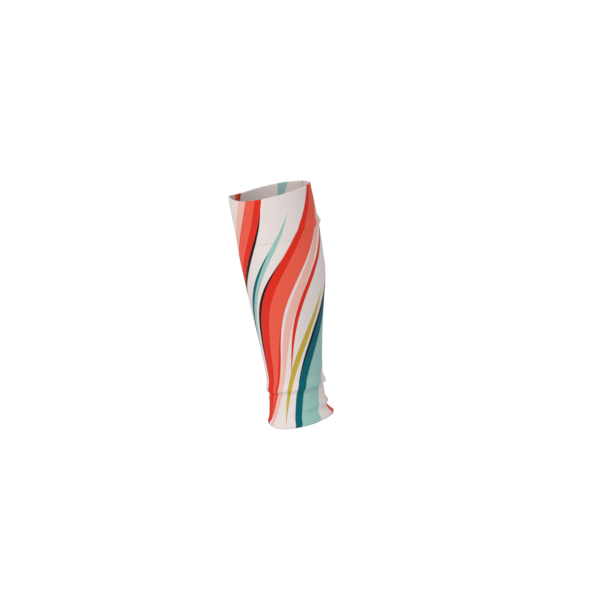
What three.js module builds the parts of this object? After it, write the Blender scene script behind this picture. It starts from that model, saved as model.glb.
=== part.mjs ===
// A knitted leg sleeve, drawn on to a right lower leg between the knee and the ankle bones.
// Millimetres. +Z runs up the leg to the knee, -Y faces forward over the shin, +X is the inner side.
// The origin lies on the leg's line where the calf is fullest, because that is where the leg holds the sleeve.
// The sleeve is three knitted tubes: a calf body in one layer, and a doubled band sewn to each of its ends.
import * as THREE from "three";

// Driving sizes, over the outside of the sleeve as it is worn
const sleeveLength = 313; // ankle hem to top hem, on the straight tube
const ankleCuffHeight = 47.5; // ankle hem up to the seam of the ankle cuff
const topBandHeight = 56; // top hem down to the seam of the top band
const calfDepth = 110.5; // shin to calf, where the calf is fullest
const calfWidth = 104; // inner side to outer side, at the same height
const ankleDepth = 75.5; // shin to heel tendon, where the ankle is slimmest
const ankleWidth = 61; // inner side to outer side, at the same height
const bodyWall = 1.2; // one layer of knit
const tongueWall = 1.0; // a band's seam allowance, which lies under the body's edge
const seamGap = 0.3; // clearance between the sewn pieces
const seamLap = 7; // how far each band's tongue reaches under the body
const heelHike = 6.3; // how far the ankle hem climbs from the shin to the heel tendon
const shinCrown = 5.6; // how far it climbs again on the ridge of the shin
const crownGather = 6; // how quickly that dies away to both sides
const foldDepth = 3.4; // how far the deepest fold stands proud
const foldSpan = 11; // the height that a fold spreads over
const bandWall = bodyWall + seamGap + tongueWall;

// How finely the tubes are faceted
const columns = 44;
const plainStep = 9;
const foldStep = 2.3;
const lipSteps = 4;

// Heights on the straight tube, before it is drawn on to the leg
const ankleHem = 0;
const ankleSeam = ankleCuffHeight;
const topSeam = sleeveLength - topBandHeight;
const topHem = sleeveLength;
const calfAt = 0.755; // the share of the length where the calf is fullest

// The leg's form, a row for each section. at: height as a share of the sleeve's length.
// deep, wide: 0 is the ankle's size and 1 the calf's. ahead: the share of the depth in front of the leg's line.
// inner: the share of the width on the inner side. shin, heel: how much the outline narrows to the front and
// to the back. hike, crown: how far the section climbs there, as shares of heelHike and of shinCrown.
const sections = [
  { at: 0, deep: .343, wide: .22, ahead: .519, inner: .505, shin: .06, heel: .16, hike: 1.0, crown: 1.0 },
  { at: .016, deep: .4, wide: .23, ahead: .507, inner: .505, shin: .06, heel: .16, hike: .97, crown: .9 },
  { at: .035, deep: .215, wide: .17, ahead: .524, inner: .505, shin: .06, heel: .18, hike: .85, crown: .6 },
  { at: .065, deep: .09, wide: .09, ahead: .533, inner: .5, shin: .06, heel: .18, hike: .6, crown: .25 },
  { at: .14, deep: 0, wide: 0, ahead: .532, inner: .5, shin: .08, heel: .16, hike: .25, crown: 0 },
  { at: .24, deep: .035, wide: .1, ahead: .507, inner: .505, shin: .11, heel: .12, hike: .12, crown: 0 },
  { at: .4, deep: .327, wide: .4, ahead: .483, inner: .515, shin: .14, heel: .06, hike: 0, crown: 0 },
  { at: .56, deep: .73, wide: .8, ahead: .456, inner: .53, shin: .16, heel: .02, hike: 0, crown: 0 },
  { at: .65, deep: .923, wide: .95, ahead: .446, inner: .53, shin: .17, heel: 0, hike: 0, crown: 0 },
  { at: .755, deep: 1.0, wide: 1.0, ahead: .453, inner: .515, shin: .18, heel: 0, hike: 0, crown: 0 },
  { at: .88, deep: 1.0, wide: .97, ahead: .462, inner: .5, shin: .16, heel: .02, hike: .4, crown: .1 },
  { at: 1.0, deep: .973, wide: .9, ahead: .483, inner: .5, shin: .13, heel: .04, hike: 1.33, crown: .95 },
];

// The folds, a row for each. crest: its height over its seam, and above, below: how far it spreads from there,
// as shares of foldSpan. front, back: how far it stands proud there, as shares of foldDepth.
// gather: how quickly it dies away from the back to the front.
const folds = [
  { seam: ankleSeam, crest: 0.55, above: 0.9, below: 0.45, front: 0.42, back: 0.95, gather: 2 },
  { seam: ankleSeam, crest: -2.13, above: 0.7, below: 0.45, front: 0.0, back: 0.6, gather: 3 },
  { seam: topSeam, crest: 0.46, above: 0.85, below: 0.42, front: 0.14, back: 0.95, gather: 4 },
];

const form = new THREE.CubicInterpolant(
  sections.map((row) => row.at),
  sections.flatMap(({ at, ...shares }) => Object.values(shares)),
  Object.keys(sections[0]).length - 1,
);

// The reaches of the leg from its line at one height.
function sectionAt(height) {
  const [deep, wide, ahead, inner, shin, heel, hike, crown] = form.evaluate(height / sleeveLength);
  const depth = THREE.MathUtils.lerp(ankleDepth, calfDepth, deep);
  const width = THREE.MathUtils.lerp(ankleWidth, calfWidth, wide);
  return {
    front: depth * ahead,
    back: depth * (1 - ahead),
    inside: width * inner,
    outside: width * (1 - inner),
    shin,
    heel,
    hike: hike * heelHike,
    crown: crown * shinCrown,
  };
}

// A point of a section's outline. The angle runs from the front, past the inner side, to the back.
function outlinePoint(section, angle) {
  const forward = Math.cos(angle);
  const inward = Math.sin(angle);
  const narrowing = (forward > 0 ? section.shin : section.heel) * forward * forward;
  return new THREE.Vector2(
    inward * (inward > 0 ? section.inside : section.outside) * (1 - narrowing),
    -forward * (forward > 0 ? section.front : section.back),
  );
}

// 0 at the front of the leg and 1 at the back.
function behind(angle) {
  return (1 - Math.cos(angle)) / 2;
}

// How far a section climbs at an angle. The crown is narrow, as the shin's ridge is.
function riseAt(section, angle) {
  const ridge = Math.max(0, Math.cos(angle)) ** crownGather;
  return section.hike * behind(angle) + section.crown * ridge;
}

// Where a height lies on a fold: 0 on its crest, and 1 or more past its edges.
function acrossFold(fold, height) {
  const over = height - fold.seam - fold.crest * foldSpan;
  return Math.abs(over) / (foldSpan * (over > 0 ? fold.above : fold.below));
}

// How far the folds lift the knit off the leg.
function foldLift(height, angle) {
  return folds.reduce((lift, fold) => {
    const across = Math.min(1, acrossFold(fold, height));
    const proud = THREE.MathUtils.lerp(fold.front, fold.back, behind(angle) ** fold.gather) * foldDepth;
    return lift + (proud * (1 + Math.cos(Math.PI * across))) / 2;
  }, 0);
}

// The place on the leg of a point of the straight tube, inset by so much from the outer face.
function onLeg(height, angle, inset) {
  const section = sectionAt(height);
  const nudge = 1e-3;
  const tangent = outlinePoint(section, angle + nudge).sub(outlinePoint(section, angle - nudge));
  const outward = new THREE.Vector2(tangent.y, -tangent.x).normalize();
  const point = outlinePoint(section, angle).addScaledVector(outward, foldLift(height, angle) - inset);
  return new THREE.Vector3(point.x, point.y, height + riseAt(section, angle) - calfAt * sleeveLength);
}

function isFolded(height) {
  return folds.some((fold) => acrossFold(fold, height) < 1);
}

// The two bands. up is 1 where the band rises from its hem to its seam, and -1 where it falls.
const ankleBand = bandHeights(ankleHem, ankleSeam, 1);
const topBand = bandHeights(topHem, topSeam, -1);

// The heights at which the faces of a band, and of the body's edge over it, begin and end.
function bandHeights(hem, seam, up) {
  const tongueTip = seam + up * seamLap;
  const bodyEdge = seam + up * seamGap;
  return {
    up,
    hem,
    seam,
    tongueTip,
    bodyEdge,
    hemFace: hem + (up * bandWall) / 2,
    bodyFace: bodyEdge + (up * bodyWall) / 2,
    tongueFace: tongueTip - (up * tongueWall) / 2,
  };
}

// The heights at which the walls are faceted. Lapped walls share them, so their clearance stays even.
const levels = [ankleBand, topBand]
  .flatMap(({ hemFace, seam, bodyFace, tongueFace }) => [hemFace, seam, bodyFace, tongueFace])
  .sort((low, high) => low - high)
  .flatMap((edge, i, edges) => {
    const heights = [edge];
    const nextLevel = (height) => height + (isFolded(height) ? foldStep : plainStep);
    for (let height = nextLevel(edge); height < edges[i + 1] - foldStep / 2; height = nextLevel(height)) {
      heights.push(height);
    }
    return heights;
  });

// The points of a wall from one level to another. A lining skips every second level where it is smooth.
function wall(inset, from, to, isLining = false) {
  const [low, high] = [Math.min(from, to), Math.max(from, to)];
  const between = levels
    .filter((level, i) => !isLining || isFolded(level) || i % 2)
    .filter((level) => level > low && level < high);
  const heights = from < to ? [low, ...between, high] : [high, ...between.reverse(), low];
  return heights.map((height) => new THREE.Vector2(inset, height));
}

// The rounded edge of a wall, from its face at one inset to its face at the other.
// up is 1 at a top edge and -1 at a bottom one.
function lip(from, to, height, up) {
  const radius = Math.abs(to - from) / 2;
  return Array.from({ length: lipSteps - 1 }, (_, i) => {
    const turn = (Math.PI * (i + 1)) / lipSteps;
    const inset = (from + to) / 2 + ((from - to) / 2) * Math.cos(turn);
    return new THREE.Vector2(inset, height + up * (Math.sin(turn) - 1) * radius);
  });
}

// The section of a doubled band: its hem is rounded, and its tongue steps in under the body at the seam.
function bandProfile({ up, hem, seam, tongueTip, hemFace, tongueFace }) {
  const tongueInset = bandWall - tongueWall;
  const profile = [
    ...wall(0, hemFace, seam),
    ...wall(tongueInset, seam, tongueFace),
    ...lip(tongueInset, bandWall, tongueTip, up),
    ...wall(bandWall, tongueFace, hemFace, true),
    ...lip(bandWall, 0, hem, -up),
  ];
  return up > 0 ? profile : profile.reverse();
}

// The section of the calf body: one wall whose edges lie over the two tongues.
function bodyProfile() {
  return [
    ...wall(0, ankleBand.bodyFace, topBand.bodyFace),
    ...lip(0, bodyWall, topBand.bodyEdge, 1),
    ...wall(bodyWall, topBand.bodyFace, ankleBand.bodyFace, true),
    ...lip(bodyWall, 0, ankleBand.bodyEdge, -1),
  ];
}

// A knitted tube: turned straight, and then drawn on to the leg.
function knitTube(name, profile, material) {
  const turningRadius = calfDepth;
  const ring = profile.map((point) => new THREE.Vector2(turningRadius - point.x, point.y));
  const geometry = new THREE.LatheGeometry([...ring, ring[0]], columns);
  const position = geometry.getAttribute("position");
  for (let i = 0; i < position.count; i++) {
    const [x, height, z] = [position.getX(i), position.getY(i), position.getZ(i)];
    const { x: right, y: back, z: up } = onLeg(height, Math.atan2(x, z), turningRadius - Math.hypot(x, z));
    position.setXYZ(i, right, back, up);
  }
  geometry.computeVertexNormals();
  const tube = new THREE.Mesh(geometry, material);
  tube.name = name;
  return tube;
}

const knit = (name, color) => new THREE.MeshStandardMaterial({ name, color, roughness: 0.85, metalness: 0 });

const sleeve = new THREE.Group();
sleeve.add(
  knitTube("top_band", bandProfile(topBand), knit("band_knit", 0xe6dfdc)),
  knitTube("calf_body", bodyProfile(), knit("body_knit", 0xe2dcda)),
  knitTube("ankle_cuff", bandProfile(ankleBand), knit("cuff_knit", 0xe4dedc)),
);
export default sleeve;
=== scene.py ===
import math

import bpy
import numpy as np
from mathutils import Matrix, Vector


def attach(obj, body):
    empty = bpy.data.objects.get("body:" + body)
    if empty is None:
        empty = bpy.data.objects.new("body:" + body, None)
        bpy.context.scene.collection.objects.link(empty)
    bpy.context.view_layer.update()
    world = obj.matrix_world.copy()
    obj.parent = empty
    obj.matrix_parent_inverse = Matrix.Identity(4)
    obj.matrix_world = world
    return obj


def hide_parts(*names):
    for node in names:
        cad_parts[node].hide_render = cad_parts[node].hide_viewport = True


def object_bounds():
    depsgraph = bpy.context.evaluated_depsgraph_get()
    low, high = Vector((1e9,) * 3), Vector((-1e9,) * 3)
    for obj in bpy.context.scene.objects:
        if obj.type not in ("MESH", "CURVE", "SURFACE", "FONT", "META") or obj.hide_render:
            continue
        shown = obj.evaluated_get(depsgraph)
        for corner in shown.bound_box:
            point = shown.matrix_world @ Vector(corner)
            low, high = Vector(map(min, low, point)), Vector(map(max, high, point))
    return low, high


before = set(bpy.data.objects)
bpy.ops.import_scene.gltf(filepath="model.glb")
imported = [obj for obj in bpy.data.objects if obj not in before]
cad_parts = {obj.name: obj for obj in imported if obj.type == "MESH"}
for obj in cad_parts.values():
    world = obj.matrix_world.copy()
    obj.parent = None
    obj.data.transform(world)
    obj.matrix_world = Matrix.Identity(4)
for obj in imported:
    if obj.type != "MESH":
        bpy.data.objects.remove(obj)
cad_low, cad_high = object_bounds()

MM = 0.001

# The cloth
BODY_WALL = 1.2 * MM
BAND_LAYER = 1.0 * MM
BAND_GAP = 0.5 * MM  # between the two layers of a band
BAND_WALL = 2 * BAND_LAYER + BAND_GAP
FRAME_GAP = 0.3 * MM  # in the frame, between the body and each band
SEAM_LAP = 7 * MM  # how far a band's inner layer reaches under the body

# An uneven wave round the leg is a slow sine and a quicker one.
SLOW_SHARE = 0.6
QUICK_SHARE = 0.4
QUICKER_BY = 2  # turns
QUICK_START = 2.3  # times the slow one's start

# The folds, and the waves that vary them round the leg
FOLD_DEPTH = 3.4 * MM
FOLD_SPAN = 11 * MM
FOLD_WANDER = 0.09  # how far a crest strays up and down, as a share of FOLD_SPAN
WANDER_TURNS = 2
WANDER_START = 7  # times the fold's crest
FOLD_UNEVENNESS = 0.14  # how much a fold's depth varies, as a share of it
UNEVEN_TURNS = 3
UNEVEN_START = 4  # times the fold's spread above its crest

# The knit's slight unevenness on the skin: two waves that slant round the leg. depth: how far each
# lifts the knit. along: how many half waves it has from hem to hem. around: how many waves in a turn.
DRAG = dict(depth=0.16 * MM, along=9, around=2)
DRAG_TURNS = 3  # of the wave that varies it round the leg
DRAG_START = 1.1
RIPPLE = dict(depth=0.1 * MM, along=23, around=-3)

# The cuff's ribs, and the wave that varies their grooves round the leg
RIBS = 58
RIB_GROOVE = 0.3 * MM
RIB_SHARPNESS = 6  # the higher, the narrower the grooves
RIB_LEVEL = 0.8  # a groove's mean depth, as a share of RIB_GROOVE
RIB_UNEVENNESS = 0.35  # how much that varies
RIB_TURNS = 9
RIB_START = 0.4

# How finely the knit is meshed. A coarseness is a number of steps that are taken as one.
BODY_COLUMNS = 288
BAND_COLUMNS = 288
COLUMNS_PER_RIB = 8
PLAIN_STEP = 1.4 * MM
FOLD_STEP = 0.55 * MM
SEAM_REACH = 3  # the number of its spans up and down from a seam that are meshed as finely as a fold
REVERSE_COARSENESS = 2.2
HIDDEN_COARSENESS = 2 * REVERSE_COARSENESS  # between a band's two layers
LIP_STEPS = 5
HEM_STEPS = 10
GAP_STEPS = 3
SLOPE_ANGLE = 1e-3  # to each side of a point, to find which way the outline runs there

# How near a vertex of the frame lies to a line up the leg, or to a height, to be counted there
LINE_TOLERANCE = 0.1 * MM
HEIGHT_TOLERANCE = 4.6 * MM

# The leg's form, a row for each section, as the frame's solids have it.
# at: height as a share of the sleeve's length. deep, wide: 0 is the ankle's size and 1 the calf's.
# ahead, inner: the shares of the depth in front of the leg's line, and of the width on its inner side.
# shin, heel: how much the outline narrows to the front and to the back.
# hike, crown: how far it climbs at the back and over the shin, as shares of HEEL_HIKE and SHIN_CROWN.
SECTIONS = [
    dict(at=0, deep=.343, wide=.22, ahead=.519, inner=.505, shin=.06, heel=.16, hike=1.0, crown=1.0),
    dict(at=.016, deep=.4, wide=.23, ahead=.507, inner=.505, shin=.06, heel=.16, hike=.97, crown=.9),
    dict(at=.035, deep=.215, wide=.17, ahead=.524, inner=.505, shin=.06, heel=.18, hike=.85, crown=.6),
    dict(at=.065, deep=.09, wide=.09, ahead=.533, inner=.5, shin=.06, heel=.18, hike=.6, crown=.25),
    dict(at=.14, deep=0, wide=0, ahead=.532, inner=.5, shin=.08, heel=.16, hike=.25, crown=0),
    dict(at=.24, deep=.035, wide=.1, ahead=.507, inner=.505, shin=.11, heel=.12, hike=.12, crown=0),
    dict(at=.4, deep=.327, wide=.4, ahead=.483, inner=.515, shin=.14, heel=.06, hike=0, crown=0),
    dict(at=.56, deep=.73, wide=.8, ahead=.456, inner=.53, shin=.16, heel=.02, hike=0, crown=0),
    dict(at=.65, deep=.923, wide=.95, ahead=.446, inner=.53, shin=.17, heel=0, hike=0, crown=0),
    dict(at=.755, deep=1.0, wide=1.0, ahead=.453, inner=.515, shin=.18, heel=0, hike=0, crown=0),
    dict(at=.88, deep=1.0, wide=.97, ahead=.462, inner=.5, shin=.16, heel=.02, hike=.4, crown=.1),
    dict(at=1.0, deep=.973, wide=.9, ahead=.483, inner=.5, shin=.13, heel=.04, hike=1.33, crown=.95),
]
CROWN_GATHER = 6  # how quickly the crown dies away to both sides of the shin

# The stitches and their relief
WALES = 440
COURSE_PITCH = 0.62 * MM
STITCH_RELIEF = 0.12 * MM
STITCH_LEAN = 0.6  # how far a stitch's legs climb from its middle to its sides, as a share of a course
STITCH_ROUNDNESS = 0.6  # the lower, the fuller the yarn
BUMP_STRENGTH = 0.5

# The knit's tone, the shade painted into the gaps between its stitches, and its sheen
GAP_PAINTED_SHADE = 0.07  # painted shade: how much darker the print is made in the gaps between the stitches, where shade falls
CLOUD_SHADE = 0.06  # how much its tone varies from patch to patch
CLOUD = {"Scale": 38.0, "Detail": 3.0, "Roughness": 0.6}
GAP_ROUGHNESS = 0.84
YARN_ROUGHNESS_CHANGE = -0.08  # from the gaps to the yarn
SHEEN = {"Sheen Weight": 0.05, "Sheen Roughness": 0.45, "Specular IOR Level": 0.1}

# The print and its map. The map says how far round the leg a place is, and how far up the sleeve.
KNIT_MAP = "knit"
MAP_AXES = ("Around", "Up")
REVERSE_AT = 2.0  # the reverse of the knit lies this far from its face on the map
PRINT_BLEED = 0.25  # how far the ink runs on past each hem to line the bands, as a share of the length
PRINT_EDGE = 0.0012  # how soft the ink's edge is, as a share of the girth

# Colours as a screen shows them
PALETTE = {
    "white": (208, 199, 196),
    "red": (202, 39, 25),
    "coral": (214, 82, 64),
    "blush": (214, 165, 153),
    "teal": (0, 86, 99),
    "aqua": (138, 176, 169),
    "mustard": (176, 153, 51),
    "black": (16, 12, 13),
    "floor": (238, 238, 238),
    "daylight": (255, 255, 255),
}

# The streams that the print flows in. start: where each crosses the middle of the sleeve,
# lean: how far it moves round from hem to hem, and sway: how far it swings to each side, all as
# shares of the girth. waves, phase: how often it swings, and from where.
STREAM_SIZES = ("start", "lean", "sway", "waves", "phase")
STREAMS = {
    "shin": dict(start=-.06, lean=.42, sway=.030, waves=1.0, phase=.30),
    "inner": dict(start=.205, lean=.44, sway=.032, waves=1.1, phase=.15),
    "calf": dict(start=.47, lean=.41, sway=.030, waves=1.2, phase=.55),
    "outer": dict(start=.72, lean=.44, sway=.034, waves=1.0, phase=.80),
}

# The print, a row for each ribbon, the lowest ink first. aside: how far it lies beside its stream's
# line, and width: how far it reaches to each side, as shares of the girth. low, high: where it begins
# and ends, as shares of the sleeve's length. fullest: where between them it is widest.
RIBBON_SIZES = ("aside", "low", "high", "skew", "width")
RIBBONS = [
    dict(stream="shin", ink="blush", aside=-.034, low=.05, high=1.25, fullest=.6, width=.052),
    dict(stream="shin", ink="black", aside=.012, low=.30, high=1.08, fullest=.5, width=.052),
    dict(stream="shin", ink="red", aside=0, low=.18, high=1.3, fullest=.5, width=.046),
    dict(stream="shin", ink="coral", aside=-.014, low=.26, high=1.3, fullest=.5, width=.026),
    dict(stream="inner", ink="aqua", aside=-.118, low=.26, high=.94, fullest=.45, width=.020),
    dict(stream="inner", ink="teal", aside=-.128, low=.34, high=.80, fullest=.5, width=.010),
    dict(stream="inner", ink="blush", aside=-.096, low=-.12, high=.34, fullest=.5, width=.022),
    dict(stream="inner", ink="blush", aside=.047, low=-.08, high=.98, fullest=.6, width=.062),
    dict(stream="inner", ink="black", aside=-.012, low=.10, high=.92, fullest=.5, width=.071),
    dict(stream="inner", ink="red", aside=0, low=-.12, high=1.14, fullest=.52, width=.066),
    dict(stream="inner", ink="coral", aside=.019, low=0, high=1.14, fullest=.6, width=.040),
    dict(stream="inner", ink="white", aside=.062, low=.16, high=.86, fullest=.55, width=.008),
    dict(stream="inner", ink="red", aside=.122, low=.22, high=1.06, fullest=.5, width=.012),
    dict(stream="calf", ink="mustard", aside=-.096, low=0, high=.60, fullest=.55, width=.018),
    dict(stream="calf", ink="aqua", aside=.040, low=-.25, high=1.12, fullest=.45, width=.090),
    dict(stream="calf", ink="black", aside=-.031, low=.1, high=.8, fullest=.5, width=.035),
    dict(stream="calf", ink="teal", aside=-.022, low=-.22, high=.98, fullest=.45, width=.026),
    dict(stream="outer", ink="aqua", aside=.125, low=-.3, high=.48, fullest=.45, width=.026),
    dict(stream="outer", ink="blush", aside=.040, low=-.1, high=1.05, fullest=.5, width=.060),
    dict(stream="outer", ink="black", aside=.014, low=.08, high=.92, fullest=.55, width=.063),
    dict(stream="outer", ink="coral", aside=0, low=-.1, high=1.1, fullest=.5, width=.058),
    dict(stream="outer", ink="red", aside=-.016, low=0, high=1.1, fullest=.45, width=.034),
    dict(stream="outer", ink="mustard", aside=-.085, low=.3, high=.95, fullest=.5, width=.016),
    dict(stream="outer", ink="teal", aside=.118, low=.1, high=.8, fullest=.5, width=.014),
]

# The stage
FLOOR_CORNERS = ((-1, -1), (1, -1), (1, 1), (-1, 1))
FLOOR_REACH = 30.0
FLOOR_DROP = 0.7
FLOOR_ROUGHNESS = 0.9
WALL_STRENGTH = 1.0
CEILING_STRENGTH = 0.56
OVERHEAD = 0.5  # the sine of the elevation above which the ceiling's strength holds

# The lights, in degrees. Azimuth 0 is in front of the leg, and 90 on its inner side.
LIGHTS = [
    dict(name="key", azimuth=62, elevation=42, spread=50, strength=2.0),
    dict(name="fill", azimuth=270, elevation=35, spread=40, strength=0.9),
]

# The camera
CAMERA_DISTANCE = 2.8
CAMERA_ELEVATION = math.radians(12.85)
CAMERA_ROLL = math.radians(8.42)
CAMERA_SENSOR = 36.0
CAMERA_LENS = 126.9
CAMERA_AIM = Vector((0, 0.02066, -0.06966))


def node_points(node):
    """The vertices of a CAD node."""
    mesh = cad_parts[node].data
    points = np.empty(3 * len(mesh.vertices))
    mesh.vertices.foreach_get("co", points)
    return points.reshape(-1, 3)


def line_of(node, angle):
    """The lowest and highest points of a node on its line at one angle round the leg."""
    points = node_points(node)
    toward = np.array([math.sin(angle), -math.cos(angle)])
    aside = points[:, 0] * toward[1] - points[:, 1] * toward[0]
    on_line = (np.abs(aside) < LINE_TOLERANCE) & (points[:, :2] @ toward > 0)
    return points[on_line, 2].min(), points[on_line, 2].max()


def size_at(node, z):
    """A node's width and depth at one height."""
    points = node_points(node)
    near = points[np.abs(points[:, 2] - z) < HEIGHT_TOLERANCE]
    return np.ptp(near[:, 0]), np.ptp(near[:, 1])


# The sizes that the frame gives. A section climbs all of its hike at the back, and half of it at the side.
SHIN, SIDE, BACK = 0, math.pi / 2, math.pi
hem_back, hem_side = line_of("ankle_cuff", BACK)[0], line_of("ankle_cuff", SIDE)[0]
HEEL_HIKE = 2 * (hem_back - hem_side)
HEM_Z = hem_back - HEEL_HIKE
SHIN_CROWN = line_of("ankle_cuff", SHIN)[0] - HEM_Z
LENGTH = line_of("top_band", BACK)[1] - SECTIONS[-1]["hike"] * HEEL_HIKE - HEM_Z
ANKLE_SEAM = line_of("calf_body", SHIN)[0] - FRAME_GAP - HEM_Z
TOP_SEAM = line_of("calf_body", SHIN)[1] + FRAME_GAP - HEM_Z
CALF_WIDTH, CALF_DEPTH = size_at("calf_body", 0.0)
ANKLE_WIDTH, ANKLE_DEPTH = size_at("ankle_cuff", HEM_Z + ANKLE_SEAM)

# The folds, a row for each. crest: its height over its seam, and above, below: how far it spreads from
# there, as shares of FOLD_SPAN. front, back: how far it stands proud there, as shares of FOLD_DEPTH, and
# below 0 it is drawn in. gather: how quickly it changes from its back to its front. droop: how far it
# hangs down, as a share of how far it stands proud.
FOLDS = [
    dict(seam=ANKLE_SEAM, crest=.6, above=1.1, below=.5, front=.6, back=.95, gather=2, droop=.35),
    dict(seam=ANKLE_SEAM, crest=-2.1, above=.7, below=.42, front=0, back=.74, gather=2, droop=.6),
    dict(seam=ANKLE_SEAM, crest=-2.75, above=.3, below=.7, front=0, back=-.42, gather=1.5, droop=0),
    dict(seam=TOP_SEAM, crest=.98, above=.85, below=.55, front=.05, back=.85, gather=4, droop=.2),
]

# The seams. depth, span: how far each draws the knit in, and how far up and down from it.
# gap: how far apart its two edges are. lip: how far they are rounded over.
ANKLE_JOIN = dict(height=ANKLE_SEAM, depth=0.8 * MM, span=3.2 * MM, gap=0.06 * MM, lip=0.35 * MM)
TOP_JOIN = dict(height=TOP_SEAM, depth=0.1 * MM, span=1.5 * MM, gap=0.03 * MM, lip=0.06 * MM)
SEAMS = [ANKLE_JOIN, TOP_JOIN]


def through_rows(name, at):
    """A column of SECTIONS on a smooth curve through its rows, at shares of the sleeve's length."""
    knots = np.array([row["at"] for row in SECTIONS])
    values = np.array([row[name] for row in SECTIONS])
    slopes = np.diff(values) / np.diff(knots)
    tangents = np.concatenate([slopes[:1], (slopes[1:] + slopes[:-1]) / 2, slopes[-1:]])
    i = np.clip(np.searchsorted(knots, at, side="right") - 1, 0, len(knots) - 2)
    span = knots[i + 1] - knots[i]
    t = (at - knots[i]) / span
    start = values[i] * (1 + 2 * t) * (1 - t) ** 2 + tangents[i] * span * t * (1 - t) ** 2
    end = values[i + 1] * t * t * (3 - 2 * t) - tangents[i + 1] * span * t * t * (1 - t)
    return start + end


def blend(start, end, share):
    """The value at a share of the way from start to end."""
    return start + (end - start) * share


def outline(height, angle):
    """The leg's outline at heights (a column) and angles (a row), as two arrays of coordinates."""
    at = height / LENGTH
    depth = blend(ANKLE_DEPTH, CALF_DEPTH, through_rows("deep", at))
    width = blend(ANKLE_WIDTH, CALF_WIDTH, through_rows("wide", at))
    ahead, inner = through_rows("ahead", at), through_rows("inner", at)
    forward, inward = np.cos(angle), np.sin(angle)
    reach = np.where(forward > 0, depth * ahead, depth * (1 - ahead))
    side = np.where(inward > 0, width * inner, width * (1 - inner))
    narrowing = np.where(forward > 0, through_rows("shin", at), through_rows("heel", at)) * forward**2
    return inward * side * (1 - narrowing), -forward * reach


def behind(angle):
    """0 at the front of the leg and 1 at the back."""
    return (1 - np.cos(angle)) / 2


def waver(angle, turns, start):
    """An uneven wave round the leg, from -1 to 1."""
    quick = np.sin((turns + QUICKER_BY) * angle + QUICK_START * start)
    return SLOW_SHARE * np.sin(turns * angle + start) + QUICK_SHARE * quick


def fold_at(fold, height, angle):
    """How far one fold lifts the knit off the leg."""
    wander = FOLD_WANDER * waver(angle, WANDER_TURNS, WANDER_START * fold["crest"])
    over = height - fold["seam"] - (fold["crest"] + wander) * FOLD_SPAN
    spread = FOLD_SPAN * np.where(over > 0, fold["above"], fold["below"])
    across = np.minimum(1, np.abs(over) / spread)
    proud = FOLD_DEPTH * blend(fold["front"], fold["back"], behind(angle) ** fold["gather"])
    unevenness = 1 + FOLD_UNEVENNESS * waver(angle, UNEVEN_TURNS, UNEVEN_START * fold["above"])
    return proud * unevenness * (1 + np.cos(math.pi * across)) / 2


def pinch_at(height):
    """How far the seams draw the knit in."""
    return sum(seam["depth"] * np.exp(-(((height - seam["height"]) / seam["span"]) ** 2)) for seam in SEAMS)


def rise_at(height, angle):
    """How far a section climbs at an angle. The crown is narrow, as the shin's ridge is."""
    at = height / LENGTH
    ridge = np.maximum(0, np.cos(angle)) ** CROWN_GATHER
    hike = through_rows("hike", at) * HEEL_HIKE * behind(angle)
    return hike + through_rows("crown", at) * SHIN_CROWN * ridge


def slant_at(wave, height, angle):
    """How far a wave that slants round the leg lifts the knit."""
    up = height / LENGTH
    return wave["depth"] * np.sin(wave["along"] * math.pi * up + wave["around"] * angle)


def slack_at(height, angle):
    """The slight unevenness of knit on skin."""
    drag = slant_at(DRAG, height, angle) * waver(angle, DRAG_TURNS, DRAG_START)
    return drag + slant_at(RIPPLE, height, angle) * behind(angle)


def on_leg(height, angle, inset, relief):
    """The places on the leg of points of the straight tube, inset by so much from the outer face."""
    x, y = outline(height, angle)
    before, after = outline(height, angle - SLOPE_ANGLE), outline(height, angle + SLOPE_ANGLE)
    along_x, along_y = after[0] - before[0], after[1] - before[1]
    length = np.hypot(along_x, along_y)
    lifts = [fold_at(fold, height, angle) for fold in FOLDS]
    droop = sum(fold["droop"] * lift for fold, lift in zip(FOLDS, lifts))
    proud = sum(lifts) - pinch_at(height) + slack_at(height, angle) + relief - inset
    z = height + rise_at(height, angle) - droop + HEM_Z
    return np.stack([x + along_y / length * proud, y - along_x / length * proud, z], axis=-1)


def heights_between(start, end, coarseness=1.0):
    """Heights from one to another, closer where there is a fold or a seam."""
    low, high = min(start, end), max(start, end)
    heights = [low]
    while heights[-1] < high:
        height = heights[-1]
        near_seam = any(abs(height - seam["height"]) < SEAM_REACH * seam["span"] for seam in SEAMS)
        in_fold = any(abs(height - fold["seam"] - fold["crest"] * FOLD_SPAN) < FOLD_SPAN for fold in FOLDS)
        heights.append(height + coarseness * (FOLD_STEP if near_seam or in_fold else PLAIN_STEP))
    heights = np.array(heights)
    heights = low + (heights - low) * (high - low) / (heights[-1] - low)
    return heights if start < end else heights[::-1]


# A tube's section is a closed run of rows: (inset, height, print height, is it the printed face).
REVERSE, PRINTED = False, True


def wall(inset, start, end, face=PRINTED, coarseness=1.0):
    """The rows of a plain face."""
    return [(inset, height, height, face) for height in heights_between(start, end, coarseness)]


def edge(start_inset, end_inset, height, up, lip, face=PRINTED, steps=LIP_STEPS):
    """The rows of an edge between two faces, rounded over by lip. up is 1 at an upper edge, or else -1."""
    half = abs(end_inset - start_inset) / 2
    rows = []
    for turn in np.linspace(0, math.pi, steps + 2)[1:-1]:
        inset = blend(start_inset, end_inset, (1 - math.cos(turn)) / 2)
        around = height + up * (math.sin(turn) - 1) * lip
        travelled = turn if start_inset < end_inset else math.pi - turn
        rows.append((inset, around, height + up * (travelled - 1) * half, face))
    return rows


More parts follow.
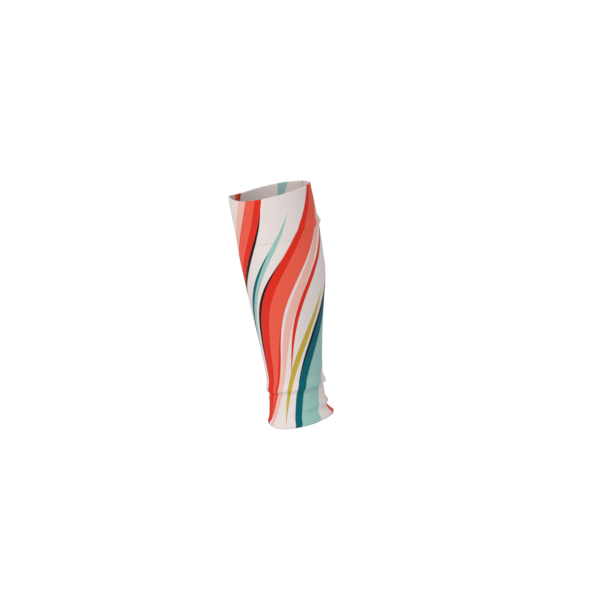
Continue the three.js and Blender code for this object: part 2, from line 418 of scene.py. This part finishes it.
def body_section():
    """The body: one wall, whose edges lie over the bands' inner layers."""
    low, high = ANKLE_SEAM + ANKLE_JOIN["gap"], TOP_SEAM - TOP_JOIN["gap"]
    low_face, high_face = low + ANKLE_JOIN["lip"], high - TOP_JOIN["lip"]
    return [
        *wall(0, low_face, high_face),
        *edge(0, BODY_WALL, high, 1, TOP_JOIN["lip"]),
        *wall(BODY_WALL, high_face, low_face, REVERSE, REVERSE_COARSENESS),
        *edge(BODY_WALL, 0, low, -1, ANKLE_JOIN["lip"]),
    ]


def band_section(hem, seam, up):
    """A band: a strip folded at the hem. Its outer layer ends at the seam, its inner one under the body."""
    inner, turn, lip = BAND_LAYER + BAND_GAP, BAND_WALL / 2, seam["lip"]
    hem_face = hem + up * turn
    outer_face = seam["height"] - up * lip
    tip = seam["height"] + up * SEAM_LAP
    # On the map, the inner face goes on from the outer one, past the hem's half circle.
    past_hem = hem + up * (1 - math.pi) * turn
    lining = wall(BAND_WALL, tip - up * lip, hem_face, PRINTED, REVERSE_COARSENESS)
    rows = [
        *wall(0, hem_face, outer_face),
        *edge(0, BAND_LAYER, seam["height"], up, lip),
        *wall(BAND_LAYER, outer_face, hem_face, REVERSE, HIDDEN_COARSENESS),
        *edge(BAND_LAYER, inner, hem_face - up * BAND_GAP / 2, -up, BAND_GAP / 2, REVERSE, GAP_STEPS),
        *wall(inner, hem_face, tip - up * lip, PRINTED, HIDDEN_COARSENESS),
        *edge(inner, BAND_WALL, tip, up, lip, REVERSE),
        *[(inset, height, past_hem - (height - hem_face), face) for inset, height, _, face in lining],
        *edge(BAND_WALL, 0, hem, -up, turn, PRINTED, HEM_STEPS),
    ]
    return rows if up > 0 else rows[::-1]


def around_shares(height, columns):
    """How far round the leg each column lies, from 0 to 1, where the last meets the first again."""
    angle = np.linspace(0, 2 * math.pi, columns + 1)
    x, y = outline(height, angle)
    run = np.cumsum(np.hypot(np.diff(x, axis=1), np.diff(y, axis=1)), axis=1)
    run = np.pad(run, ((0, 0), (1, 0)))
    return run / run[:, -1:]


def cuff_ribs(inset, angle):
    """The fine grooves between the cuff's ribs, on its outer face."""
    groove = np.cos(RIBS * angle / 2) ** RIB_SHARPNESS
    groove = groove * (RIB_LEVEL + RIB_UNEVENNESS * waver(angle, RIB_TURNS, RIB_START))
    return -RIB_GROOVE * groove * np.clip(1 - inset / BAND_LAYER, 0, 1)


def put_in_scene(name, data):
    """A new object in the scene."""
    thing = bpy.data.objects.new(name, data)
    bpy.context.scene.collection.objects.link(thing)
    return thing


def knit_tube(name, section, columns, relief):
    """A closed mesh of a section drawn round the leg, mapped by shares of the girth and the length."""
    inset, height, print_height = (np.array([row[i] for row in section])[:, None] for i in range(3))
    face = np.array([row[3] for row in section])
    angle = np.linspace(0, 2 * math.pi, columns, endpoint=False)[None, :]
    points = on_leg(height, angle, inset, relief(inset, angle) if relief else 0.0)

    row, column = np.meshgrid(np.arange(len(section)), np.arange(columns), indexing="ij")
    next_row, next_column = (row + 1) % len(section), (column + 1) % columns
    corners = [(row, column), (row, next_column), (next_row, next_column), (next_row, column)]
    quads = np.stack([i * columns + j for i, j in corners], axis=-1).reshape(-1, 4)

    around = around_shares(height, columns)
    up = print_height[:, 0] / LENGTH
    reverse = np.where(face & np.roll(face, -1), 0.0, REVERSE_AT)[row]
    corners = [(row, column), (row, column + 1), (next_row, column + 1), (next_row, column)]
    uv = np.stack([np.stack([around[i, j], up[i] + reverse], axis=-1) for i, j in corners], axis=2)

    mesh = bpy.data.meshes.new(name)
    mesh.from_pydata(points.reshape(-1, 3).tolist(), [], quads.tolist())
    mesh.uv_layers.new(name=KNIT_MAP).data.foreach_set("uv", uv.ravel())
    mesh.shade_smooth()
    return put_in_scene(name, mesh)


class Graph:
    """Adds nodes to a tree and links them. An input is a socket or a plain value."""

    def __init__(self, tree):
        self.tree = tree

    def add(self, kind, **settings):
        node = self.tree.nodes.new(kind)
        for name, value in settings.items():
            setattr(node, name, value)
        return node

    def feed(self, node, name, value):
        if isinstance(value, bpy.types.NodeSocket):
            self.tree.links.new(value, node.inputs[name])
        else:
            node.inputs[name].default_value = value

    def feed_all(self, node, values):
        for name, value in values.items():
            self.feed(node, name, value)

    def math(self, operation, *values):
        node = self.add("ShaderNodeMath", operation=operation)
        self.feed_all(node, dict(enumerate(values)))
        return node.outputs[0]

    def share(self, value, low, high):
        """Where a value lies between low and high, from 0 to 1."""
        node = self.add("ShaderNodeMapRange", clamp=True)
        self.feed_all(node, {"Value": value, "From Min": low, "From Max": high})
        return node.outputs["Result"]

    def mix(self, factor, start, end):
        """A blend of two colours."""
        node = self.add("ShaderNodeMix", data_type="RGBA", blend_type="MIX")
        for name, given in {"Factor_Float": factor, "A_Color": start, "B_Color": end}.items():
            socket = next(socket for socket in node.inputs if socket.identifier == name)
            if isinstance(given, bpy.types.NodeSocket):
                self.tree.links.new(given, socket)
            else:
                socket.default_value = given
        return next(socket for socket in node.outputs if socket.identifier == "Result_Color")

    def group(self, tree, values):
        """What a node group gives for its named values."""
        node = self.add("ShaderNodeGroup", node_tree=tree)
        self.feed_all(node, values)
        return node.outputs[0]


def new_group(name, inputs, output, kind):
    """A node group of plain numbers in and one output, as the graph to fill and its inputs."""
    tree = bpy.data.node_groups.new(name, "ShaderNodeTree")
    for given in inputs:
        tree.interface.new_socket(given, in_out="INPUT", socket_type="NodeSocketFloat")
    tree.interface.new_socket(output, in_out="OUTPUT", socket_type=kind)
    graph = Graph(tree)
    return graph, graph.add("NodeGroupInput").outputs


def colour(red, green, blue):
    """A colour as a screen shows it, from 0 to 255, as the shader's own values."""
    shown = [value / 255 for value in (red, green, blue)]
    return (*(((c + 0.055) / 1.055) ** 2.4 if c > 0.04045 else c / 12.92 for c in shown), 1.0)


def ribbon_group():
    """The node group that draws one ribbon of the print: a long leaf on a leaning, swaying line."""
    graph, given = new_group("ribbon", (*MAP_AXES, *STREAM_SIZES, *RIBBON_SIZES), "Mask", "NodeSocketFloat")
    swing = graph.math("MULTIPLY_ADD", given["Up"], given["waves"], given["phase"])
    swing = graph.math("SINE", graph.math("MULTIPLY", swing, 2 * math.pi))
    sway = graph.math("MULTIPLY", swing, given["sway"])
    lean = graph.math("MULTIPLY", graph.math("SUBTRACT", given["Up"], 0.5), given["lean"])
    start = graph.math("ADD", given["start"], given["aside"])
    line = graph.math("ADD", start, graph.math("ADD", lean, sway))
    # The distance from the line, the shorter way round the leg
    aside = graph.math("WRAP", graph.math("SUBTRACT", given["Around"], line), 0.5, -0.5)
    aside = graph.math("ABSOLUTE", aside)
    # A parabola over the ribbon's length, from 0 at its two tips to 1 where it is fullest
    along = graph.math("POWER", graph.share(given["Up"], given["low"], given["high"]), given["skew"])
    taper = graph.math("MULTIPLY", graph.math("MULTIPLY", along, 4.0), graph.math("SUBTRACT", 1.0, along))
    reach = graph.math("MULTIPLY", taper, given["width"])
    mask = graph.math("DIVIDE", graph.math("SUBTRACT", reach, aside), PRINT_EDGE)
    mask.node.use_clamp = True
    graph.feed(graph.add("NodeGroupOutput"), "Mask", mask)
    return graph.tree


def print_group():
    """The node group that draws the whole print on the white ground."""
    graph, given = new_group("print", MAP_AXES, "Color", "NodeSocketColor")
    ribbon = ribbon_group()
    above = graph.math("GREATER_THAN", given["Up"], -PRINT_BLEED)
    printed = graph.math("MULTIPLY", above, graph.math("LESS_THAN", given["Up"], 1 + PRINT_BLEED))
    result = colour(*PALETTE["white"])
    for row in RIBBONS:
        sizes = {**STREAMS[row["stream"]], **row, "skew": math.log(0.5) / math.log(row["fullest"])}
        sizes = {name: sizes[name] for name in (*STREAM_SIZES, *RIBBON_SIZES)}
        place = {name: given[name] for name in MAP_AXES}
        mask = graph.math("MULTIPLY", graph.group(ribbon, {**sizes, **place}), printed)
        result = graph.mix(mask, result, colour(*PALETTE[row["ink"]]))
    graph.feed(graph.add("NodeGroupOutput"), "Color", result)
    return graph.tree


def stitch_group():
    """The node group of the knit's relief: columns of small V stitches, 0 in the gaps and 1 on the yarn."""
    graph, given = new_group("stitches", MAP_AXES, "Relief", "NodeSocketFloat")
    wale = graph.math("PINGPONG", graph.math("MULTIPLY", given["Around"], 2.0 * WALES), 1.0)
    lean = graph.math("MULTIPLY", wale, STITCH_LEAN)
    course = graph.math("MULTIPLY_ADD", given["Up"], LENGTH / COURSE_PITCH, lean)
    loop = graph.math("SINE", graph.math("MULTIPLY", course, 2 * math.pi))
    leg = graph.math("SINE", graph.math("MULTIPLY", wale, math.pi))
    yarn = graph.math("POWER", leg, STITCH_ROUNDNESS)
    raised = graph.math("MULTIPLY", graph.math("MULTIPLY_ADD", loop, 0.5, 0.5), yarn)
    graph.feed(graph.add("NodeGroupOutput"), "Relief", raised)
    return graph.tree


def knit_material(name, knit):
    """Printed knit: the print, with shade painted into the gaps between the stitches, the stitches' bump in
    the light, and a soft sheen.
    """
    material = bpy.data.materials.new(name)
    material.use_nodes = True
    material.node_tree.nodes.clear()
    graph = Graph(material.node_tree)
    split = graph.add("ShaderNodeSeparateXYZ")
    graph.feed(split, "Vector", graph.add("ShaderNodeUVMap", uv_map=KNIT_MAP).outputs["UV"])
    place = dict(zip(MAP_AXES, (split.outputs["X"], split.outputs["Y"])))
    relief = graph.group(knit["stitches"], place)

    cloud = graph.add("ShaderNodeTexNoise", noise_dimensions="3D")
    graph.feed_all(cloud, {"Vector": graph.add("ShaderNodeTexCoord").outputs["Object"], **CLOUD})
    # Painted shade: the print is darkened in the gaps between the stitches, where shade falls, and its tone
    # varies at random from patch to patch
    gaps = graph.math("MULTIPLY", graph.math("SUBTRACT", 1.0, relief), GAP_PAINTED_SHADE)
    unevenness = graph.math("MULTIPLY", graph.math("SUBTRACT", cloud.outputs["Fac"], 0.5), CLOUD_SHADE)
    painted_shade_and_tone = graph.math("ADD", graph.math("SUBTRACT", 1.0, gaps), unevenness)
    tone = graph.add("ShaderNodeHueSaturation")
    graph.feed_all(tone, {"Color": graph.group(knit["artwork"], place), "Value": painted_shade_and_tone})

    bump = graph.add("ShaderNodeBump")
    graph.feed_all(bump, {"Height": relief, "Distance": STITCH_RELIEF, "Strength": BUMP_STRENGTH})
    rough = graph.math("MULTIPLY_ADD", relief, YARN_ROUGHNESS_CHANGE, GAP_ROUGHNESS)
    shader = graph.add("ShaderNodeBsdfPrincipled")
    inputs = {"Base Color": tone.outputs["Color"], "Normal": bump.outputs["Normal"], "Roughness": rough}
    graph.feed_all(shader, {**inputs, **SHEEN})
    graph.feed(graph.add("ShaderNodeOutputMaterial"), "Surface", shader.outputs["BSDF"])
    return material


def plain_material(name, shown, roughness):
    """A plain matt surface."""
    material = bpy.data.materials.new(name)
    material.use_nodes = True
    shader = material.node_tree.nodes["Principled BSDF"]
    shader.inputs["Base Color"].default_value = colour(*shown)
    shader.inputs["Roughness"].default_value = roughness
    return material


def make_floor():
    """A wide pale floor under the sleeve."""
    mesh = bpy.data.meshes.new("floor")
    corners = [(x * FLOOR_REACH, y * FLOOR_REACH, cad_low.z - FLOOR_DROP) for x, y in FLOOR_CORNERS]
    mesh.from_pydata(corners, [], [(0, 1, 2, 3)])
    mesh.materials.append(plain_material("floor_paint", PALETTE["floor"], FLOOR_ROUGHNESS))
    floor = put_in_scene("floor", mesh)


def make_light(name, azimuth, elevation, spread, strength):
    """A broad soft light from far away."""
    light = bpy.data.lights.new(name, "SUN")
    light.energy = strength
    light.angle = math.radians(spread)
    side, rise = math.radians(azimuth), math.radians(elevation)
    source = Vector((math.sin(side) * math.cos(rise), -math.cos(side) * math.cos(rise), math.sin(rise)))
    put_in_scene(name, light).rotation_euler = source.to_track_quat("Z", "Y").to_euler()


def make_world():
    """A white studio, brightest along the walls and dimmer overhead."""
    world = bpy.data.worlds.new("studio")
    world.use_nodes = True
    graph = Graph(world.node_tree)
    direction = graph.add("ShaderNodeSeparateXYZ")
    graph.feed(direction, "Vector", graph.add("ShaderNodeTexCoord").outputs["Generated"])
    overhead = graph.share(direction.outputs["Z"], 0.0, OVERHEAD)
    strength = graph.math("MULTIPLY_ADD", overhead, CEILING_STRENGTH - WALL_STRENGTH, WALL_STRENGTH)
    background = world.node_tree.nodes["Background"]
    graph.feed_all(background, {"Color": colour(*PALETTE["daylight"]), "Strength": strength})
    bpy.context.scene.world = world


def make_camera():
    """The camera, on the inner side of the leg, a little above it and tilted."""
    data = bpy.data.cameras.new("camera")
    data.sensor_width = CAMERA_SENSOR
    data.lens = CAMERA_LENS
    camera = put_in_scene("camera", data)
    backward = Vector((math.cos(CAMERA_ELEVATION), 0, math.sin(CAMERA_ELEVATION)))
    level_right = Vector((0, 1, 0))
    level_up = backward.cross(level_right)
    right = level_right * math.cos(CAMERA_ROLL) - level_up * math.sin(CAMERA_ROLL)
    up = level_right * math.sin(CAMERA_ROLL) + level_up * math.cos(CAMERA_ROLL)
    turn = Matrix((right, up, backward)).transposed().to_4x4()
    camera.matrix_world = Matrix.Translation(CAMERA_AIM + backward * CAMERA_DISTANCE) @ turn
    bpy.context.scene.camera = camera


def make_piece(node, slot, knit, section, columns, relief):
    """A knit tube that stands for a CAD node, whose own solid it hides."""
    piece = knit_tube(node + "_knit", section, columns, relief)
    piece.data.materials.append(knit_material(slot, knit))
    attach(piece, "root")
    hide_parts(node)
    return piece


def make_body(knit):
    """The body, cut as a strip that tapers from the calf's fullest girth."""
    return make_piece("calf_body", "body_knit", knit, body_section(), BODY_COLUMNS, None)


def make_band(node, slot, knit, hem, seam, columns, relief):
    """A band, cut as one strip of twice its height and its lap."""
    section = band_section(hem, seam, 1 if seam["height"] > hem else -1)
    make_piece(node, slot, knit, section, columns, relief)


knit = dict(artwork=print_group(), stitches=stitch_group())
body = make_body(knit)
make_band("top_band", "band_knit", knit, LENGTH, TOP_JOIN, BAND_COLUMNS, None)
make_band("ankle_cuff", "cuff_knit", knit, 0, ANKLE_JOIN, RIBS * COLUMNS_PER_RIB, cuff_ribs)
make_floor()
make_world()
for light in LIGHTS:
    make_light(**light)
make_camera()
bpy.context.scene.view_settings.view_transform = "Standard"
